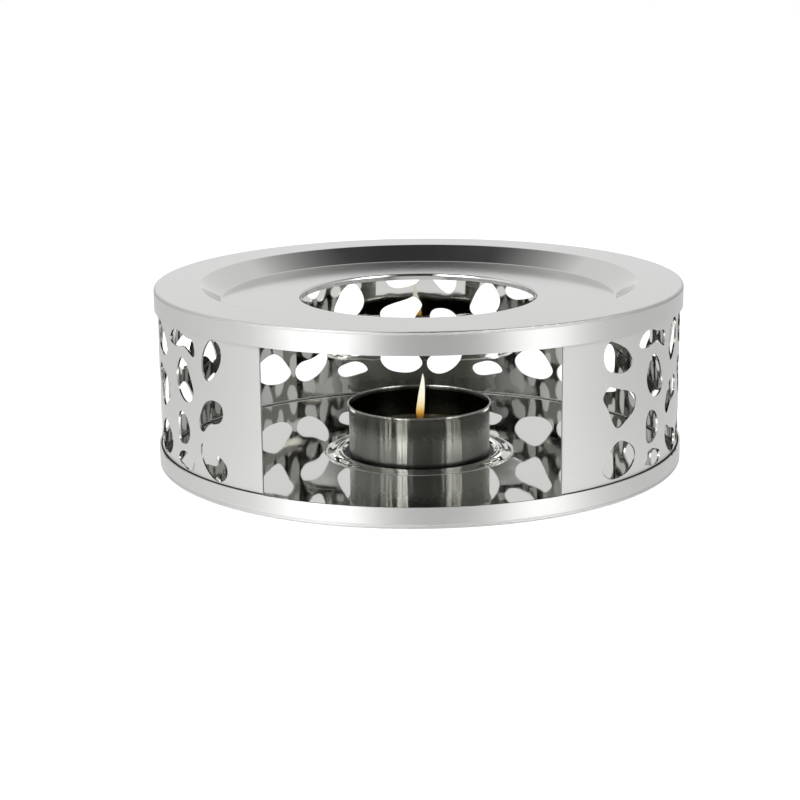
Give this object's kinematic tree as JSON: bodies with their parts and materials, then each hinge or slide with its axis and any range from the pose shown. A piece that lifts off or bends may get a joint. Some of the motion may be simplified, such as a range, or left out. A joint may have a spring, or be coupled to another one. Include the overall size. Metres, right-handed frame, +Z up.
{
  "type": "teapot warmer",
  "caption": "Round steel teapot warmer: lid with a sunken ring and heat hole, pebble-pierced wall with an open front, and a tray that seats a tealight.",
  "frame": {"origin": "on the floor, under the middle of the base plate", "axes": "+Z up along the warmer's axis, -Y out of the open front, +X to the right of someone who looks into the open front"},
  "size_m": [0.15, 0.15, 0.051],
  "materials": {
    "base_plate": "polished stainless steel sheet",
    "side_wall": "satin stainless steel strip outside, polished inside",
    "top_plate": "satin stainless steel sheet",
    "tealight_cup": "thin drawn aluminium with fine vertical creases",
    "wax": "soft white wax, half burnt",
    "wick": "charred cotton braid",
    "wick_foot": "dull tinplate"
  },
  "bodies": {
    "root": {"base_plate": "base_plate", "side_wall": "side_wall", "top_plate": "top_plate", "tealight_cup": "tealight_cup", "wax": "wax", "wick": "wick", "wick_foot": "wick_foot"}
  },
  "joints": []
}
